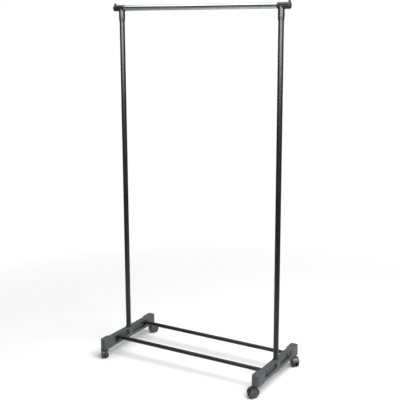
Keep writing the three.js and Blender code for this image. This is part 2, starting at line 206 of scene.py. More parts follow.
def prism(name, outline, low, high, bevel, matrix):
    """An outline in XZ, extruded along Y from low to high, with its rims rounded."""
    piece = loft(name, [[(x, y, z) for x, z in outline] for y in (low, high)])
    work = bmesh.new()
    work.from_mesh(piece.data)
    rims = [e for e in work.edges if abs(e.verts[0].co.y - e.verts[1].co.y) < 1e-4]
    bmesh.ops.bevel(work, geom=rims, offset=bevel, segments=3, profile=0.5, affect="EDGES")
    work.to_mesh(piece.data)
    work.free()
    piece.data.transform(matrix)
    return piece


def duplicate(piece, name):
    other = piece.copy()
    other.data = piece.data.copy()
    other.name = name
    bpy.context.scene.collection.objects.link(other)
    return other


def bake(piece):
    """Applies every modifier to the piece's own mesh."""
    bpy.context.view_layer.update()
    evaluated = piece.evaluated_get(bpy.context.evaluated_depsgraph_get())
    mesh = bpy.data.meshes.new_from_object(evaluated)
    piece.modifiers.clear()
    piece.data = mesh


def merge(pieces):
    """Solids that don't touch, as one object."""
    first = pieces[0]
    work = bmesh.new()
    for piece in pieces:
        work.from_mesh(piece.data)
    work.to_mesh(first.data)
    work.free()
    for piece in pieces[1:]:
        bpy.data.objects.remove(piece)
    return first


def combine(piece, others, operation):
    """Joins ("UNION") or cuts ("DIFFERENCE") the piece with other solids, which are then removed."""
    for other in others:
        modifier = piece.modifiers.new("combine", "BOOLEAN")
        modifier.operation = operation
        modifier.solver = "EXACT"
        modifier.object = other
    bake(piece)
    for other in others:
        bpy.data.objects.remove(other)
    return piece


def install(piece, node, material):
    """Puts the piece in the place of a CAD node: same body, same slot, smooth shading, a material."""
    mesh = piece.data
    mesh.materials.clear()
    mesh.materials.append(material)
    mesh.shade_smooth()
    mesh.set_sharp_from_angle(angle=SMOOTH_ANGLE)
    weighted = piece.modifiers.new("flat faces stay flat", "WEIGHTED_NORMAL")
    weighted.keep_sharp = True
    bake(piece)
    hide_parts(node)
    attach(piece, BODY_OF[node])
    return piece


# ---------------------------------------------------------------- materials

class Shader:
    """A Principled material under construction, with its texture coordinates in millimetres."""

    def __init__(self, name, colour, roughness, metallic=0.0):
        self.material = bpy.data.materials.new(name)
        self.material.use_nodes = True
        self.tree = self.material.node_tree
        self.surface = self.tree.nodes["Principled BSDF"]
        self.surface.inputs["Base Color"].default_value = (*colour, 1)
        self.surface.inputs["Roughness"].default_value = roughness
        self.surface.inputs["Metallic"].default_value = metallic
        coordinates = self.node("ShaderNodeTexCoord")
        scale = self.node("ShaderNodeVectorMath", operation="SCALE")
        scale.inputs["Scale"].default_value = 1 / MM
        self.link(coordinates.outputs["Object"], scale.inputs[0])
        self.position = scale.outputs["Vector"]

    def node(self, kind, **settings):
        node = self.tree.nodes.new(kind)
        for key, value in settings.items():
            setattr(node, key, value)
        return node

    def link(self, output, socket):
        self.tree.links.new(output, socket)

    def stretched(self, x, y, z):
        """The position scaled along each axis."""
        node = self.node("ShaderNodeVectorMath", operation="MULTIPLY")
        node.inputs[1].default_value = (x, y, z)
        self.link(self.position, node.inputs[0])
        return node.outputs["Vector"]

    def noise(self, size, detail=2.0, roughness=0.5, position=None):
        """Noise with features of about the given size in millimetres, from 0 to 1."""
        node = self.node("ShaderNodeTexNoise")
        node.inputs["Scale"].default_value = 1 / size
        node.inputs["Detail"].default_value = detail
        node.inputs["Roughness"].default_value = roughness
        self.link(position or self.position, node.inputs["Vector"])
        return node.outputs["Fac"]

    def spread(self, value, low, high, to_low=0.0, to_high=1.0):
        """The value mapped from low..high to to_low..to_high, clamped."""
        node = self.node("ShaderNodeMapRange", clamp=True)
        ends = {"From Min": low, "From Max": high, "To Min": to_low, "To Max": to_high}
        for key, number in ends.items():
            node.inputs[key].default_value = number
        self.link(value, node.inputs["Value"])
        return node.outputs["Result"]

    def times(self, first, second):
        node = self.node("ShaderNodeMath", operation="MULTIPLY")
        self.link(first, node.inputs[0])
        self.link(second, node.inputs[1])
        return node.outputs["Value"]

    def mix(self, factor, first, second):
        """Blends two colours: the first is a colour or an output, the second is a colour."""
        node = self.node("ShaderNodeMix", data_type="RGBA")
        self.link(factor, node.inputs["Factor"])
        for value, socket in ((first, node.inputs["A"]), (second, node.inputs["B"])):
            if isinstance(value, tuple):
                socket.default_value = (*value, 1)
            else:
                self.link(value, socket)
        return node.outputs["Result"]

    def occlusion_for_painted_shade(self, reach, enclosed, clear):
        """From 0 in recesses to 1 where no wall stands within the reach, in millimetres: an
        ambient-occlusion mask for painting shade into recesses.
        """
        node = self.node("ShaderNodeAmbientOcclusion", samples=8)
        node.inputs["Distance"].default_value = reach * MM
        return self.spread(node.outputs["AO"], enclosed, clear)

    def colour(self, output):
        self.link(output, self.surface.inputs["Base Color"])

    def roughness(self, output):
        self.link(output, self.surface.inputs["Roughness"])

    def bump(self, *layers):
        """Stacks bump layers, each (height output, depth in millimetres)."""
        normal = None
        for height, depth in layers:
            node = self.node("ShaderNodeBump")
            node.inputs["Distance"].default_value = depth * MM
            self.link(height, node.inputs["Height"])
            if normal is not None:
                self.link(normal, node.inputs["Normal"])
            normal = node.outputs["Normal"]
        self.link(normal, self.surface.inputs["Normal"])


def black_enamel():
    """Glossy sprayed enamel on drawn tube: faint orange peel and a little dust."""
    shader = Shader("black_enamel", (0.006, 0.0062, 0.007), 0.2)
    shader.surface.inputs["Specular IOR Level"].default_value = 0.38
    dust = shader.spread(shader.noise(60, detail=5, roughness=0.55), 0.45, 0.8)
    shader.colour(shader.mix(dust, (0.005, 0.0052, 0.006), (0.009, 0.0093, 0.010)))
    shader.roughness(shader.spread(shader.noise(50, detail=3), 0.3, 0.7, 0.19, 0.24))
    drawing = shader.noise(6.0, position=shader.stretched(1, 1, 0.01))
    shader.bump((shader.noise(40), 0.006), (drawing, 0.002))
    return shader.material


def chrome_plate():
    """Bright chrome with the fine hoop marks that sliding hangers leave."""
    shader = Shader("chrome_plate", (0.55, 0.556, 0.56), 0.09, metallic=1.0)
    hoops = shader.noise(1.1, detail=3, position=shader.stretched(1, 0.03, 0.03))
    smears = shader.spread(shader.noise(30, detail=5), 0.35, 0.75)
    shader.colour(shader.mix(smears, (0.56, 0.566, 0.57), (0.50, 0.506, 0.515)))
    shader.roughness(shader.spread(shader.times(hoops, smears), 0.0, 0.6, 0.06, 0.18))
    shader.bump((hoops, 0.001), (shader.noise(60), 0.01))
    return shader.material


def foot_plastic():
    """Charcoal moulded plastic with an eroded grain, a faint bloom, rubbed patches and painted shade
    that darkens its recesses and pockets.
    """
    shader = Shader("foot_plastic", (0.047, 0.049, 0.050), 0.52)
    grain = shader.noise(0.7, detail=3, roughness=0.6)
    bloom = shader.spread(shader.noise(55, detail=5, roughness=0.6), 0.35, 0.8)
    rubbed = shader.mix(bloom, (0.036, 0.038, 0.039), (0.045, 0.047, 0.048))
    # painted shade: where ambient occlusion finds walls close by, as in the pockets and recesses, the
    # colour is darkened towards near-black
    painted_recess_shade = shader.spread(shader.occlusion_for_painted_shade(16, 0.45, 0.9), 0.0, 1.0, 1.0, 0.0)
    shader.colour(shader.mix(painted_recess_shade, rubbed, (0.006, 0.006, 0.007)))
    shader.roughness(shader.spread(shader.noise(12, detail=4), 0.3, 0.7, 0.46, 0.58))
    shader.bump((shader.noise(30), 0.06), (grain, 0.03))
    return shader.material


def fitting_plastic():
    """Smooth black moulded plastic with a faint satin grain and light wear."""
    shader = Shader("fitting_plastic", (0.011, 0.011, 0.012), 0.3)
    wear = shader.spread(shader.noise(18, detail=5), 0.45, 0.8)
    shader.colour(shader.mix(wear, (0.010, 0.010, 0.011), (0.018, 0.018, 0.019)))
    shader.roughness(shader.spread(shader.noise(8, detail=4), 0.3, 0.7, 0.25, 0.36))
    shader.bump((shader.noise(0.6, detail=3), 0.008), (shader.noise(18), 0.02))
    return shader.material


def caster_plastic():
    """Black nylon of the hoods: satin, with flow marks and scuffs near the floor."""
    shader = Shader("caster_plastic", (0.012, 0.012, 0.013), 0.36)
    scuffs = shader.spread(shader.noise(9, detail=5, roughness=0.6), 0.5, 0.8)
    shader.colour(shader.mix(scuffs, (0.011, 0.011, 0.012), (0.020, 0.020, 0.021)))
    shader.roughness(shader.spread(shader.noise(6, detail=4), 0.3, 0.7, 0.3, 0.45))
    shader.bump((shader.noise(0.6, detail=3), 0.015), (shader.noise(12), 0.04))
    return shader.material


def wheel_plastic():
    """Hard grey-black nylon of the wheels, lightly dusty, with rolling wear."""
    shader = Shader("wheel_plastic", (0.028, 0.029, 0.030), 0.42)
    dust = shader.spread(shader.noise(11, detail=5, roughness=0.6), 0.4, 0.8)
    shader.colour(shader.mix(dust, (0.024, 0.025, 0.026), (0.038, 0.038, 0.037)))
    shader.roughness(shader.spread(shader.noise(5, detail=4), 0.3, 0.7, 0.38, 0.52))
    shader.bump((shader.noise(0.5, detail=3), 0.015), (shader.noise(8), 0.03))
    return shader.material


def zinc_steel():
    """Zinc-plated steel: blotchy spangle, a slight yellow cast and fine turning marks."""
    shader = Shader("zinc_steel", (0.5, 0.51, 0.52), 0.34, metallic=1.0)
    spangle = shader.noise(1.8, detail=4, roughness=0.7)
    shader.colour(shader.mix(shader.spread(spangle, 0.35, 0.7), (0.46, 0.47, 0.49), (0.60, 0.59, 0.55)))
    shader.roughness(shader.spread(spangle, 0.3, 0.7, 0.26, 0.44))
    shader.bump((shader.noise(0.4), 0.01))
    return shader.material


MATERIALS = {
    "black_enamel": black_enamel(),
    "chrome_plate": chrome_plate(),
    "foot_plastic": foot_plastic(),
    "fitting_plastic": fitting_plastic(),
    "caster_plastic": caster_plastic(),
    "wheel_plastic": wheel_plastic(),
    "zinc_steel": zinc_steel(),
}


def finish_piece(piece, node):
    return install(piece, node, MATERIALS[SLOT_OF[node]])


# ---------------------------------------------------------------- feet

FOOT_BOTTOM = low_mm("right_foot", 2)
FOOT_TOP = high_mm("right_foot", 2)
FOOT_END = high_mm("right_foot", 1)
RAIL_Y = centre_mm("rear_rail").y
RAIL_Z = centre_mm("rear_rail").z
CASTER_Y = JOINTS["rear_right_caster_swivel"]["pos_m"][1] / MM
POLE_BOTTOM = low_mm("right_lower_pole", 2)
POLE_RADIUS = 12.5
GAP = 0.3  # left between pieces that touch on the real stand

BEAM_TOP = FOOT_TOP - 4.0
BEAM_HALF_WIDTH = 16.0
BLOCK_HALF_WIDTH = high_mm("right_foot", 0) - centre_mm("right_lower_pole").x
BLOCK_START = FOOT_END - 60.0
SHOULDER = 3.0
RAMP = 9.0
END_CORNER = 9.0
TOP_FILLET = 2.6
BOTTOM_FILLET = 1.2
COLLAR_TOP = FOOT_TOP - 0.5
COLLAR_RADIUS = 15.8
POCKET = {"start": 17.0, "end": 138.0, "bottom": 67.0, "top": 97.5, "depth": 9.0, "corner": 5.0}
RAIL_PAD_RADIUS = 11.0
RAIL_NOSE_RADIUS = 6.7
RAIL_NOSE_DEPTH = 5.0
RAIL_SCREW_DEPTH = 8.0
POLE_SCREW_DEPTH = 4.2
SCREW_HOLE_RADIUS = 2.6
COUNTERBORE_RADIUS = 5.2
SOCKET_RADIUS = 6.0
CAVITY_HALF_WIDTH = 4.0
CAVITY_CORNER = 2.5
CAVITY_TOP = 93.0
CAVITIES = [(22.0, 61.0), (64.0, 102.0), (132.0, 183.0)]


def ease(value, low, high):
    t = np.clip((value - low) / (high - low), 0, 1)
    return t * t * (3 - 2 * t)


def foot_half_width(y):
    """Half the foot's width at a place along it: beam, shoulder, block, round corner."""
    along = abs(y)
    widening = ease(along, BLOCK_START - SHOULDER, BLOCK_START)
    width = BEAM_HALF_WIDTH + (BLOCK_HALF_WIDTH - BEAM_HALF_WIDTH) * widening
    into_corner = max(0.0, along - (FOOT_END - END_CORNER))
    return width - END_CORNER + math.sqrt(max(0.0, END_CORNER**2 - into_corner**2))


def foot_top(y):
    along = abs(y)
    top = BEAM_TOP + (FOOT_TOP - BEAM_TOP) * ease(along, BLOCK_START - RAMP, BLOCK_START + RAMP)
    into_end = max(0.0, along - (FOOT_END - TOP_FILLET))
    return top - TOP_FILLET + math.sqrt(max(0.0, TOP_FILLET**2 - into_end**2))


def foot_stations():
    """Places along the foot, close together where its shape changes."""
    places = [0.0, *np.arange(BLOCK_START - RAMP, BLOCK_START + RAMP + 0.5, 1.0)]
    places += [FOOT_END - END_CORNER * (1 - math.sin(t)) for t in np.linspace(0, math.pi / 2, 18)]
    return [-p for p in reversed(places) if p] + places


def foot_section(y):
    """One side of the foot's section: (x, z) from the middle of the bottom to the middle of the top."""
    half, top = foot_half_width(y), foot_top(y)
    quarter = np.linspace(0, math.pi / 2, 7)
    points = [(0, FOOT_BOTTOM)]
    for t in quarter:
        x = half - BOTTOM_FILLET * (1 - math.sin(t))
        points.append((x, FOOT_BOTTOM + BOTTOM_FILLET * (1 - math.cos(t))))
    for t in quarter:
        x = half - TOP_FILLET * (1 - math.cos(t))
        points.append((x, top - TOP_FILLET * (1 - math.sin(t))))
    return points + [(0, top)]


def foot_skin(name):
    """The outside of the foot, lofted from section to section."""
    loops = []
    for y in foot_stations():
        half = foot_section(y)
        mirrored = [(-x, z) for x, z in half[-2:0:-1]]
        loops.append([(x, y, z) for x, z in half + mirrored])
    return loft(name, loops)


def pocket_outline(inset):
    """The pocket in the side face, drawn in by inset: (y, z), round the lower rail's pad."""
    low, high = POCKET["start"] + inset, POCKET["end"] - inset
    bottom, top = POCKET["bottom"] + inset, POCKET["top"] - inset
    corner = POCKET["corner"] - inset
    pad = RAIL_PAD_RADIUS + inset
    start = math.asin((top - RAIL_Z) / pad)
    half = pad * math.cos(start)
    outline = rounded([
        (RAIL_Y - half, top), (low, top, corner), (low, bottom, corner),
        (high, bottom, corner), (high, top, corner), (RAIL_Y + half, top),
    ], steps=6)
    for angle in np.linspace(start, -math.pi - start, 30)[1:-1]:
        outline.append(Vector((RAIL_Y + pad * math.cos(angle), RAIL_Z + pad * math.sin(angle))))
    return outline


def pocket(face, along):
    """A pocket as a solid to cut away: a soft floor, drafted walls and a rounded mouth."""
    floor = BEAM_HALF_WIDTH - POCKET["depth"]
    layers = [
        (floor, 1.9), (floor + 0.3, 1.1), (floor + 1.2, 0.6), (BEAM_HALF_WIDTH - 1.0, 0.0),
        (BEAM_HALF_WIDTH - 0.3, -0.25), (BEAM_HALF_WIDTH + 0.1, -0.9), (BEAM_HALF_WIDTH + 1.0, -0.9),
    ]
    loops = [[(face * x, along * y, z) for y, z in pocket_outline(inset)] for x, inset in layers]
    return loft("cutter", loops)


def cavity(low, high):
    """A box with rounded corners seen from above, open below the foot."""
    half, corner = CAVITY_HALF_WIDTH, CAVITY_CORNER
    outline = rounded([
        (0, low), (half, low, corner), (half, high, corner),
        (-half, high, corner), (-half, low, corner), (0, low),
    ], steps=4)[:-1]
    return loft("cutter", [[(x, y, z) for x, y in outline] for z in (FOOT_BOTTOM - 1, CAVITY_TOP)])


def rail_hole():
    """From the inner face out: the plug's nose, the screw's shank and its head."""
    inside, outside = -BLOCK_HALF_WIDTH, BEAM_HALF_WIDTH + 0.5
    nose_end = RAIL_NOSE_DEPTH + GAP - BEAM_HALF_WIDTH
    seat = BEAM_HALF_WIDTH - RAIL_SCREW_DEPTH
    return [
        (0, inside), (RAIL_NOSE_RADIUS + GAP, inside), (RAIL_NOSE_RADIUS + GAP, nose_end),
        (SCREW_HOLE_RADIUS, nose_end), (SCREW_HOLE_RADIUS, seat), (COUNTERBORE_RADIUS, seat),
        (COUNTERBORE_RADIUS, BEAM_HALF_WIDTH - 0.6), (COUNTERBORE_RADIUS + 1.1, outside), (0, outside),
    ]


def upright_hole():
    """From below up: the screw's head, its shank and the upright."""
    below, above = FOOT_BOTTOM - 0.5, COLLAR_TOP + 0.4
    seat = FOOT_BOTTOM + POLE_SCREW_DEPTH
    floor = POLE_BOTTOM - GAP
    bore = POLE_RADIUS + GAP
    return [
        (0, below), (COUNTERBORE_RADIUS + 0.6, below), (COUNTERBORE_RADIUS, FOOT_BOTTOM + 0.3),
        (COUNTERBORE_RADIUS, seat), (SCREW_HOLE_RADIUS, seat), (SCREW_HOLE_RADIUS, floor),
        (bore, floor), (bore, COLLAR_TOP - 0.6), (bore + 1, above), (0, above),
    ]


def caster_hole():
    below = FOOT_BOTTOM - 1
    radius = SOCKET_RADIUS + GAP
    roof = high_mm("rear_right_caster_socket", 2) + GAP
    return [(0, below), (radius, below), (radius, roof), (0, roof)]


def foot_cutters():
    """The holes and the hollow underside, as solids to cut away."""
    cutters = [revolve("cutter", upright_hole())]
    for along in (-1, 1):
        rail = Matrix.Translation((0, along * RAIL_Y, RAIL_Z)) @ X_UP
        caster = Matrix.Translation((0, along * CASTER_Y, 0))
        cutters.append(revolve("cutter", rail_hole(), rail, sides=FINE_SIDES))
        cutters.append(revolve("cutter", caster_hole(), caster, sides=FINE_SIDES))
        for near, far in CAVITIES:
            cutters.append(cavity(*sorted((along * near, along * far))))
    return merge(cutters)


def foot_collar():
    """The raised ring round the upright, with a soft fillet at its top."""
    buried = BEAM_TOP - 8
    return revolve("collar", rounded([
        (0, buried), (COLLAR_RADIUS, buried), (COLLAR_RADIUS, COLLAR_TOP, 1.4), (0, COLLAR_TOP),
    ]))


def make_feet():
    model = foot_skin("right_foot_moulding")
    combine(model, [foot_collar()], "UNION")
    pockets = merge([pocket(face, along) for face in (-1, 1) for along in (-1, 1)])
    combine(model, [pockets], "DIFFERENCE")
    combine(model, [foot_cutters()], "DIFFERENCE")
    other = duplicate(model, "left_foot_moulding")
    for side, piece in (("right", model), ("left", other)):
        piece.data.transform(side_placing(side, 0))
        finish_piece(piece, f"{side}_foot")


# ---------------------------------------------------------------- tubes, plugs and screws

POLE_WALL = 1.0
LOWER_RAIL_RADIUS = 9.5
HANGING_RAIL_RADIUS = 12.7
RAIL_WALL = 1.2
PLUG_BORE = 2.3
RAIL_PLUG_RADIUS = 8.0
RAIL_PLUG_LENGTH = 22.0
SCREW = {"crest": 2.0, "root": 1.6, "pitch": 1.0, "head_radius": 4.5, "head_height": 3.0}


def lower_pole_profile():
    """The lower tube, drawn in above its shoulder to a spigot that fits inside the upper tube."""
    inner = POLE_RADIUS - POLE_WALL
    spigot = inner - GAP
    shoulder = low_mm("right_upper_pole", 2) - 1.3
    top = high_mm("right_lower_pole", 2)
    return rounded([
        (inner, POLE_BOTTOM), (POLE_RADIUS, POLE_BOTTOM, 0.3), (POLE_RADIUS, shoulder + 1.0, 0.5),
        (spigot, shoulder + 1.1, 0.4), (spigot, top, 0.3), (spigot - POLE_WALL, top),
        (spigot - POLE_WALL, shoulder), (inner, shoulder - 1), (inner, POLE_BOTTOM),
    ], steps=3)


def make_poles():
    joint = low_mm("right_upper_pole", 2)
    top = high_mm("right_upper_pole", 2)
    lower = lower_pole_profile()
    upper = ring_profile(POLE_RADIUS - POLE_WALL, POLE_RADIUS, joint, top, 0.25)
    for side in SIDES:
        here = side_placing(side, 0)
        finish_piece(revolve(f"{side}_lower_tube", lower, here), f"{side}_lower_pole")
        finish_piece(revolve(f"{side}_upper_tube", upper, here), f"{side}_upper_pole")


def make_rail(node, radius):
    end = high_mm(node, 0)
    middle = centre_mm(node)
    profile = ring_profile(radius - RAIL_WALL, radius, -end, end, 0.35)
    here = placing(0, middle.y, middle.z) @ X_UP
    finish_piece(revolve(f"{node}_tube", profile, here), node)


def make_rails():
    make_rail("front_rail", LOWER_RAIL_RADIUS)
    make_rail("rear_rail", LOWER_RAIL_RADIUS)
    make_rail("hanging_rail", HANGING_RAIL_RADIUS)


def screw(name, length, matrix):
    """A pan-head screw along +Z, its head below height 0, with a hexagonal socket and a thread."""
    crest, root, pitch = SCREW["crest"], SCREW["root"], SCREW["pitch"]
    head, under = SCREW["head_radius"], -SCREW["head_height"]
    profile = rounded([(0, under), (head, under, 1.2), (head, 0, 0.3), (crest, 0)], steps=4)
    turns = int((length - 4) / pitch)
    for k in range(turns):
        profile += [Vector((crest, 1 + k * pitch)), Vector((root, 1 + (k + 0.5) * pitch))]
    profile += [Vector((crest, 1 + turns * pitch)), Vector((0, length))]
    piece = revolve(name, profile, sides=32)
    drive = [(0, -4), (1.9, -4), (1.6, -2.7), (1.6, -1.2), (0, -0.8)]
    combine(piece, [revolve("socket", drive, sides=6)], "DIFFERENCE")
    piece.data.transform(matrix)
    return piece


def make_rail_screw(corner, outward):
    node = f"{corner}_rail_screw"
    middle = centre_mm(node)
    low, high = low_mm(node, 0), high_mm(node, 0)
    length = high - low - SCREW["head_height"]
    head = outward * (max(abs(low), abs(high)) - SCREW["head_height"])
    inwards = Matrix.Rotation(-outward * math.pi / 2, 4, "Y")
    here = placing(head, middle.y, middle.z) @ inwards
    finish_piece(screw(f"{corner}_rail_bolt", length, here), node)


def make_rail_plug(corner, outward):
    """A plug in the end of a lower rail, with a nose that sits in the foot."""
    node = f"{corner}_rail_plug"
    middle = centre_mm(node)
    body, nose, far = RAIL_PLUG_RADIUS, RAIL_NOSE_RADIUS, -RAIL_PLUG_LENGTH
    profile = rounded([
        (PLUG_BORE, far), (body, far, 0.6), (body, 0, 0.2), (nose, 0, 0.2),
        (nose, RAIL_NOSE_DEPTH, 0.6), (PLUG_BORE, RAIL_NOSE_DEPTH), (PLUG_BORE, far),
    ], steps=3)
    turn = 0 if outward > 0 else math.pi
    here = placing(outward * high_mm("front_rail", 0), middle.y, middle.z, turn) @ X_UP
    finish_piece(revolve(f"{node}_insert", profile, here, sides=FINE_SIDES), node)


def make_pole_screw(side):
    node = f"{side}_pole_screw"
    low = low_mm(node, 2)
    length = high_mm(node, 2) - low - SCREW["head_height"]
    here = side_placing(side, low + SCREW["head_height"])
    finish_piece(screw(f"{side}_pole_bolt", length, here), node)


def make_pole_plug(side):
    node = f"{side}_pole_plug"
    profile = ring_profile(PLUG_BORE, POLE_RADIUS - 1.3, low_mm(node, 2), high_mm(node, 2), 0.6)
    finish_piece(revolve(f"{node}_insert", profile, side_placing(side, 0), sides=FINE_SIDES), node)


def make_fixings():
    for corner in CORNERS:
        outward = 1 if "right" in corner else -1
        make_rail_screw(corner, outward)
        make_rail_plug(corner, outward)
    for side in SIDES:
        make_pole_screw(side)
        make_pole_plug(side)


# ---------------------------------------------------------------- tees and end caps

SLEEVE_RADIUS = 14.8
SLEEVE_INNER = 17.0
SLEEVE_OUTER = 34.0
RAIL_BORE_RADIUS = HANGING_RAIL_RADIUS + GAP
SKIRT_RADIUS = 14.8
SKIRT_LENGTH = 63.0
SKIRT_TAPER = 18.0
MOUTH_RADIUS = 13.6
SKIRT_FLARE = 2.0
CAP_LENGTH = 8.0
CAP_NOSE_RADIUS = 11.2
CAP_NOSE_LENGTH = 15.0
EAR_HALF_WIDTH = 6.5
EAR_TIP_HALF_WIDTH = 3.8
EAR_SHOULDER = 14.0
EAR_HALF_THICKNESS = 3.9


def skirt_rings():
    """Rings of the tee's skirt: a tapered mouth, a straight wall and a flare into the sleeve."""
    def ring(radius_at, height_at):
        points = []
        for k in range(ROUND_SIDES):
            angle = 2 * math.pi * k / ROUND_SIDES
            radius = radius_at(angle)
            points.append((radius * math.cos(angle), radius * math.sin(angle), height_at(angle, radius)))
        return points

    def on_sleeve(angle, radius):
        return -math.sqrt(max(0.0, SLEEVE_RADIUS**2 - (radius * math.sin(angle))**2))

    mouth = rounded([
        (POLE_RADIUS, -SKIRT_LENGTH), (MOUTH_RADIUS, -SKIRT_LENGTH, 0.5),
        (SKIRT_RADIUS, SKIRT_TAPER - SKIRT_LENGTH, 40), (SKIRT_RADIUS, -24),
    ], steps=6)
    rings = [ring(lambda a, r=radius: r, lambda a, r, z=height: z) for radius, height in mouth]
    for t in np.linspace(0, math.pi / 2, 8):
        def flared(angle, t=t):
            return SKIRT_RADIUS + SKIRT_FLARE * math.cos(angle)**4 * (1 - math.cos(t))

        def height(angle, radius, t=t):
            drop = 0.6 + SKIRT_FLARE * math.cos(angle)**2
            return on_sleeve(angle, radius) - drop * (1 - math.sin(t)) + 0.02

        rings.append(ring(flared, height))
    rings.append(ring(lambda a: SKIRT_RADIUS - 1.5, lambda a, r: on_sleeve(a, r) + 2))
    return rings


def tee_bores():
    """The holes for the hanging rail and the upright, as solids to cut away."""
    inner, outer = -SLEEVE_INNER - 1, SLEEVE_OUTER + 2
    radius = RAIL_BORE_RADIUS
    rail = [(0, inner), (radius + 0.6, inner), (radius, 0.6 - SLEEVE_INNER), (radius, outer), (0, outer)]
    pole = rod_profile(POLE_RADIUS + GAP, -SKIRT_LENGTH - 1, -SLEEVE_RADIUS, 0)
    return merge([revolve("bore", rail, X_UP), revolve("bore", pole)])


def make_tees():
    sleeve = rod_profile(SLEEVE_RADIUS, -SLEEVE_INNER, SLEEVE_OUTER, 0.9)
    height = centre_mm("hanging_rail").z
    for side in SIDES:
        tee = revolve(f"{side}_tee_fitting", sleeve, X_UP)
        combine(tee, [loft("skirt", skirt_rings())], "UNION")
        combine(tee, [tee_bores()], "DIFFERENCE")
        tee.data.transform(side_placing(side, height))
        finish_piece(tee, f"{side}_tee")


def cap_ear(tip, middle):
    """The ear that stops hangers, from the rail's axis up to its tip."""
    foot, top = EAR_HALF_WIDTH, EAR_TIP_HALF_WIDTH
    outline = rounded([
        (0, 0), (foot, 0), (foot, EAR_SHOULDER, 4), (top, tip, 2.6),
        (-top, tip, 2.6), (-foot, EAR_SHOULDER, 4), (-foot, 0), (0, 0),
    ])[:-1]
    across = Matrix.Translation((middle, 0, 0)) @ Matrix.Rotation(math.pi / 2, 4, "Z")
    return prism("ear", outline, -EAR_HALF_THICKNESS, EAR_HALF_THICKNESS, 1.3, across)


def make_end_caps():
    height = centre_mm("hanging_rail").z
    start = SLEEVE_OUTER + GAP
    end = start + CAP_LENGTH
    nose, nose_end = CAP_NOSE_RADIUS, start - CAP_NOSE_LENGTH
    tip = high_mm("right_end_cap", 2) - height
    profile = rounded([
        (0, nose_end), (nose, nose_end, 1.2), (nose, start, 0.2), (SLEEVE_RADIUS, start, 0.5),
        (SLEEVE_RADIUS, end, 1.8), (0, end),
    ])
    for side in SIDES:
        cap = revolve(f"{side}_rail_cap", profile, X_UP)
        combine(cap, [cap_ear(tip, (start + end) / 2)], "UNION")
        cap.data.transform(side_placing(side, height))
        finish_piece(cap, f"{side}_end_cap")


# ---------------------------------------------------------------- casters

WHEEL_RADIUS = JOINTS["front_left_left_wheel_spin"]["pos_m"][2] / MM
WHEEL_INNER = 6.4
WHEEL_OUTER = 15.7
TRAIL = trail_of("front_left").length
WHEEL_CLEARANCE = 0.8
HOOD_RADIUS = 25.4
HOOD_HALF_WIDTH = 16.0
HOOD_TOP = high_mm("front_left_caster_hood", 2)
HOOD_FRONT, HOOD_BACK = 12, 205  # degrees round the axle, from +X up and over
BOSS_RADIUS = 7.5
WEB_HALF_WIDTH = 6.0
WEB_HUB_RADIUS = 11.0
STEM_RADIUS = 4.0
STEM_BOTTOM = low_mm("front_left_caster_stem", 2)
STEM_COLLAR_RADIUS = 7.0
SNAP_GROOVE_RADIUS = 3.2
AXLE_RADIUS = 3.0
AXLE_HALF_LENGTH = 12.0
AT_AXLE = Matrix.Translation((TRAIL, 0, WHEEL_RADIUS))


def hood_cover():
    """The cover over both wheels: a curved shell with round shoulders, swept about the axle."""
    inner = WHEEL_RADIUS + WHEEL_CLEARANCE
    edge = HOOD_HALF_WIDTH - 0.4
    section = rounded([
        (inner, 0), (inner, edge, 0.3), (HOOD_RADIUS, HOOD_HALF_WIDTH, 1.0),
        (HOOD_RADIUS, -HOOD_HALF_WIDTH, 1.0), (inner, -edge, 0.3), (inner, 0),
    ], steps=5)[:-1]
    way = arc(1, HOOD_FRONT, HOOD_BACK, 72)
    loops = [[(radius * x, y, radius * z) for radius, y in section] for x, z in way]
    return loft("cover", loops, AT_AXLE)


def hood_web():
    """The plate between the wheels that holds the axle."""
    rim = arc(HOOD_RADIUS - 0.8, HOOD_FRONT + 2, HOOD_BACK - 2, 60)
    hub = arc(WEB_HUB_RADIUS, 225, 335, 24)
    return prism("web", rim + hub, -WEB_HALF_WIDTH, WEB_HALF_WIDTH, 0.6, AT_AXLE)


def wheel_spaces():
    """The room for the wheels on both sides of the web, as solids to cut away."""
    radius = WHEEL_RADIUS + WHEEL_CLEARANCE - 0.01
    profile = rod_profile(radius, WEB_HALF_WIDTH, HOOD_HALF_WIDTH + 2, 0)
    turns = [Matrix.Rotation(-side * math.pi / 2, 4, "X") for side in (-1, 1)]
    return merge([revolve("space", profile, AT_AXLE @ turn) for turn in turns])


def hood_model():
    """One hood in the caster's frame: cover, web and boss, bored for its stem and its axle."""
    boss = revolve("boss", rod_profile(BOSS_RADIUS, 24, HOOD_TOP, 1.0), sides=64)
    hood = hood_cover()
    combine(hood, [hood_web(), boss], "UNION")
    combine(hood, [wheel_spaces()], "DIFFERENCE")
    stem_bore = rod_profile(STEM_RADIUS + GAP, STEM_BOTTOM - GAP, HOOD_TOP + 1, 0)
    combine(hood, [revolve("bore", stem_bore, sides=FINE_SIDES)], "DIFFERENCE")
    axle_bore = rod_profile(AXLE_RADIUS + GAP, -AXLE_HALF_LENGTH, AXLE_HALF_LENGTH, 0)
    combine(hood, [revolve("bore", axle_bore, AT_AXLE @ Y_UP, sides=32)], "DIFFERENCE")
    return hood


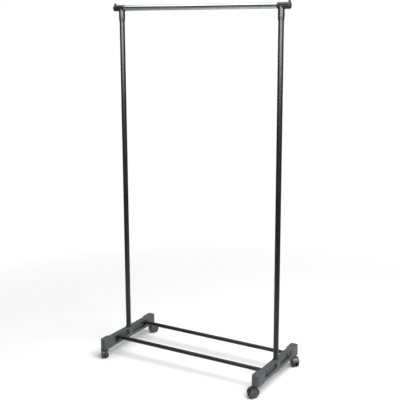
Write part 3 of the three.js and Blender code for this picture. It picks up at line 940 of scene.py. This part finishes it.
def wheel_profile():
    """A wheel from its bore out over the tread to the hub cap and back, with its axis along +Z."""
    r, inner, outer = WHEEL_RADIUS, WHEEL_INNER, WHEEL_OUTER
    bore, bore_end = AXLE_RADIUS + 0.35, AXLE_HALF_LENGTH + GAP
    inner_face = [
        (bore, inner), (8, inner, 0.3), (8.6, inner + 0.8, 0.3), (r - 3.5, inner + 0.8, 0.3),
        (r - 3, inner, 0.4), (r - 0.8, inner, 0.8),
    ]
    tread = [(r, inner + 1.4, 2.0), (r, outer - 1.7, 2.0)]
    outer_face = [
        (r - 2, outer, 0.9), (r - 4.2, outer, 0.6), (r - 5, outer - 1.3, 0.6), (11.5, outer - 2, 0.8),
        (10.6, outer - 1.3, 0.4), (8.6, outer - 1.3, 0.4), (8, outer - 0.1, 0.8), (0, outer - 0.1),
    ]
    hub = [(0, bore_end), (bore, bore_end), (bore, inner)]
    return rounded(inner_face + tread + outer_face + hub, steps=4)


def wheel(name, side, here):
    turned = here @ AT_AXLE @ Matrix.Rotation(side * math.pi / 2, 4, "X")
    return revolve(name, wheel_profile(), turned)


def stem_profile():
    """The stem from its end in the hood up: a collar under the foot and a groove near the top."""
    collar_bottom, collar_top = HOOD_TOP + GAP, FOOT_BOTTOM - GAP
    top = high_mm("front_left_caster_stem", 2)
    shank, collar, groove = STEM_RADIUS, STEM_COLLAR_RADIUS, SNAP_GROOVE_RADIUS
    return rounded([
        (0, STEM_BOTTOM), (shank, STEM_BOTTOM, 0.5), (shank, collar_bottom, 0.2),
        (collar, collar_bottom, 0.3), (collar, collar_top, 0.3), (shank, collar_top, 0.2),
        (shank, top - 9, 0.3), (groove, top - 8, 0.3), (groove, top - 5, 0.3),
        (shank, top - 4, 0.3), (shank, top, 1.2), (0, top),
    ], steps=3)


def make_hood(corner, here, model):
    cover = duplicate(model, f"{corner}_caster_cover")
    cover.data.transform(here)
    finish_piece(cover, f"{corner}_caster_hood")


def make_stem(corner, here):
    pin = revolve(f"{corner}_caster_pin", stem_profile(), here, sides=FINE_SIDES)
    finish_piece(pin, f"{corner}_caster_stem")


def make_socket(corner, here):
    node = f"{corner}_caster_socket"
    profile = ring_profile(STEM_RADIUS + 0.35, SOCKET_RADIUS, FOOT_BOTTOM, high_mm(node, 2), 0.3)
    finish_piece(revolve(f"{corner}_caster_sleeve", profile, here, sides=FINE_SIDES), node)


def make_axle(corner, here):
    profile = rod_profile(AXLE_RADIUS, -AXLE_HALF_LENGTH, AXLE_HALF_LENGTH, 0.5)
    shaft = revolve(f"{corner}_caster_shaft", profile, here @ AT_AXLE @ Y_UP, sides=32)
    finish_piece(shaft, f"{corner}_caster_axle")


def make_casters():
    model = hood_model()
    for corner in CORNERS:
        here = caster_placing(corner)
        make_hood(corner, here, model)
        make_stem(corner, here)
        make_socket(corner, here)
        make_axle(corner, here)
        for side, word in ((-1, "left"), (1, "right")):
            roller = wheel(f"{corner}_{word}_roller", side, here)
            finish_piece(roller, f"{corner}_caster_{word}_wheel")
    bpy.data.objects.remove(model)


# ---------------------------------------------------------------- studio

CAMERA_PLACE = Vector((1.9103, -3.2112, 1.6257))
CAMERA_AZIMUTH = math.radians(30.585)
CAMERA_PITCH = math.radians(11.10)
CAMERA_ROLL = math.radians(-0.188)
SENSOR_WIDTH = 36
CAMERA_LENS = 72.53
CAMERA_SHIFT_Y = -0.04
FLOOR_RADIUS = 3.4
FLOOR_FADE_MM = (700, 2200)
SKY = [(0.0, 0.3), (0.15, 0.06), (0.6, 0.08), (0.8, 0.9), (1.0, 1.4)]  # (height, brightness)
LIGHTS = [
    # name, place, target, (width, height), power, whether it lights matt surfaces
    ("tall gloss panel", (2.2, -3.7, 2.0), (0.0, 0.0, 1.95), (9.0, 1.6), 560, False),
    ("high side light", (2.2, -0.5, 3.8), (0.2, 0.0, 0.0), (2.6, 2.6), 300, True),
    ("overhead", (0.0, 0.0, 4.6), (0.0, 0.0, 0.0), (5.0, 5.0), 120, True),
]


def make_camera():
    data = bpy.data.cameras.new("camera")
    data.lens = CAMERA_LENS
    data.sensor_width = SENSOR_WIDTH
    data.shift_y = CAMERA_SHIFT_Y
    data.clip_end = 100
    camera = bpy.data.objects.new("camera", data)
    heading = Matrix.Rotation(CAMERA_AZIMUTH, 4, "Z")
    tilt = Matrix.Rotation(math.pi / 2 - CAMERA_PITCH, 4, "X")
    roll = Matrix.Rotation(CAMERA_ROLL, 4, "Z")
    camera.matrix_world = Matrix.Translation(CAMERA_PLACE) @ heading @ tilt @ roll
    bpy.context.scene.collection.objects.link(camera)
    bpy.context.scene.camera = camera


def make_floor():
    """A pale round floor that fades out before its edge."""
    rim = [(FLOOR_RADIUS * x, FLOOR_RADIUS * y, 0) for x, y in arc(1, 0, 360, 97)[:-1]]
    floor = make_object("floor", rim, [tuple(range(len(rim)))])
    shader = Shader("floor_paper", (0.52, 0.52, 0.52), 0.9)
    distance = shader.node("ShaderNodeVectorMath", operation="LENGTH")
    shader.link(shader.position, distance.inputs[0])
    fade = shader.spread(distance.outputs["Value"], *FLOOR_FADE_MM, 1.0, 0.0)
    shader.link(fade, shader.surface.inputs["Alpha"])
    floor.data.materials.append(shader.material)


def make_light(name, place, target, size, power, diffuse):
    data = bpy.data.lights.new(name, "AREA")
    data.shape = "RECTANGLE"
    data.size, data.size_y = size
    data.energy = power
    light = bpy.data.objects.new(name, data)
    light.location = place
    light.rotation_euler = (Vector(target) - Vector(place)).to_track_quat("-Z", "Y").to_euler()
    light.visible_camera = False
    light.visible_diffuse = diffuse
    bpy.context.scene.collection.objects.link(light)


def make_world():
    """White for the camera. The light comes from a sky that is bright overhead and dim low down."""
    world = bpy.data.worlds.new("studio")
    world.use_nodes = True
    bpy.context.scene.world = world
    tree = world.node_tree
    backdrop = tree.nodes["Background"]
    backdrop.inputs["Color"].default_value = (1, 1, 1, 1)
    sky = tree.nodes.new("ShaderNodeBackground")
    direction = tree.nodes.new("ShaderNodeTexCoord")
    split = tree.nodes.new("ShaderNodeSeparateXYZ")
    ramp = tree.nodes.new("ShaderNodeValToRGB")
    while len(ramp.color_ramp.elements) < len(SKY):
        ramp.color_ramp.elements.new(1.0)
    for element, (height, level) in zip(ramp.color_ramp.elements, SKY):
        element.position = height
        element.color = (level, level, level, 1)
    seen = tree.nodes.new("ShaderNodeLightPath")
    choice = tree.nodes.new("ShaderNodeMixShader")
    tree.links.new(direction.outputs["Generated"], split.inputs["Vector"])
    tree.links.new(split.outputs["Z"], ramp.inputs["Fac"])
    tree.links.new(ramp.outputs["Color"], sky.inputs["Color"])
    tree.links.new(seen.outputs["Is Camera Ray"], choice.inputs["Fac"])
    tree.links.new(sky.outputs["Background"], choice.inputs[1])
    tree.links.new(backdrop.outputs["Background"], choice.inputs[2])
    tree.links.new(choice.outputs["Shader"], tree.nodes["World Output"].inputs["Surface"])


def make_studio():
    bpy.context.scene.view_settings.view_transform = "Standard"
    make_camera()
    make_floor()
    make_world()
    for light in LIGHTS:
        make_light(*light)


make_feet()
make_poles()
make_rails()
make_fixings()
make_tees()
make_end_caps()
make_casters()
make_studio()
